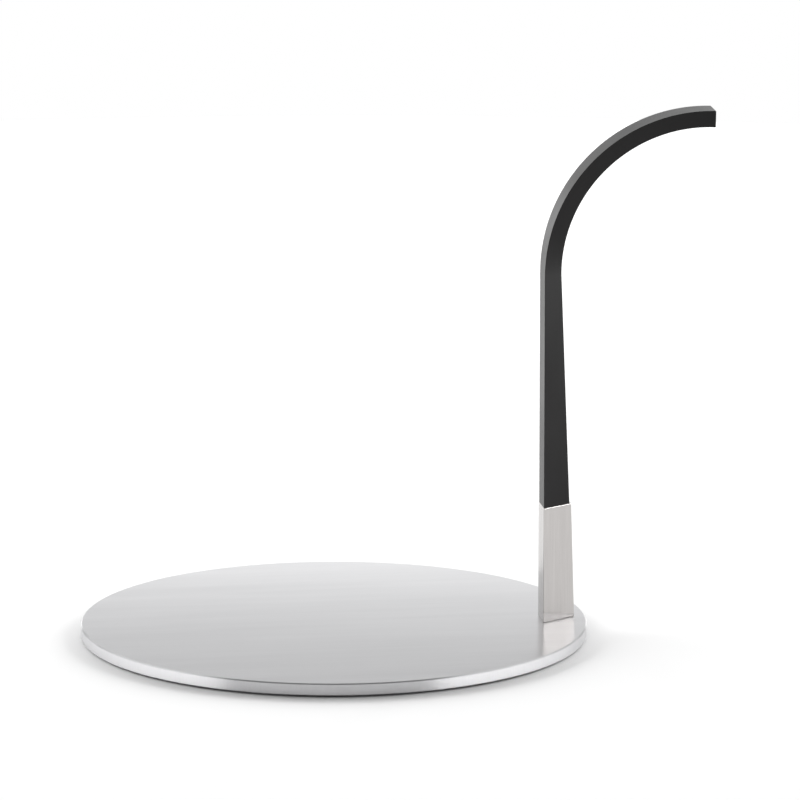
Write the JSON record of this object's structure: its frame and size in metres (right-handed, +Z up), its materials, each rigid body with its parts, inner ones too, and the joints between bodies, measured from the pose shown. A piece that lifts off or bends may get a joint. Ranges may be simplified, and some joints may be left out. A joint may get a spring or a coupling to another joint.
{
  "type": "razor stand",
  "caption": "Desk stand with a thin round steel base plate and an upright arm near its rim, steel below and black above, that bends outwards to a plain square tip.",
  "frame": {"origin": "centre of the base pad's underside, on the table, under the middle of the round plate", "axes": "+Z up; +X the way the arm's tip points, parallel to the arm's bend; +Y to the left of it, away from the arm"},
  "size_m": [0.1624, 0.13, 0.136],
  "materials": {
    "plate_steel": "fine straight brushing",
    "foot_steel": "fine upright brushing",
    "core_steel": "plain drawn bar",
    "fastener_steel": "plain",
    "cover_black": "satin black",
    "pad_rubber": "matt"
  },
  "bodies": {
    "root": {"base_plate": "plate_steel", "base_pad": "pad_rubber", "foot_screw": "fastener_steel", "foot_dowel": "fastener_steel", "arm_foot": "foot_steel", "core_bar": "core_steel", "core_pin": "fastener_steel", "arm_cover": "cover_black"}
  },
  "joints": []
}
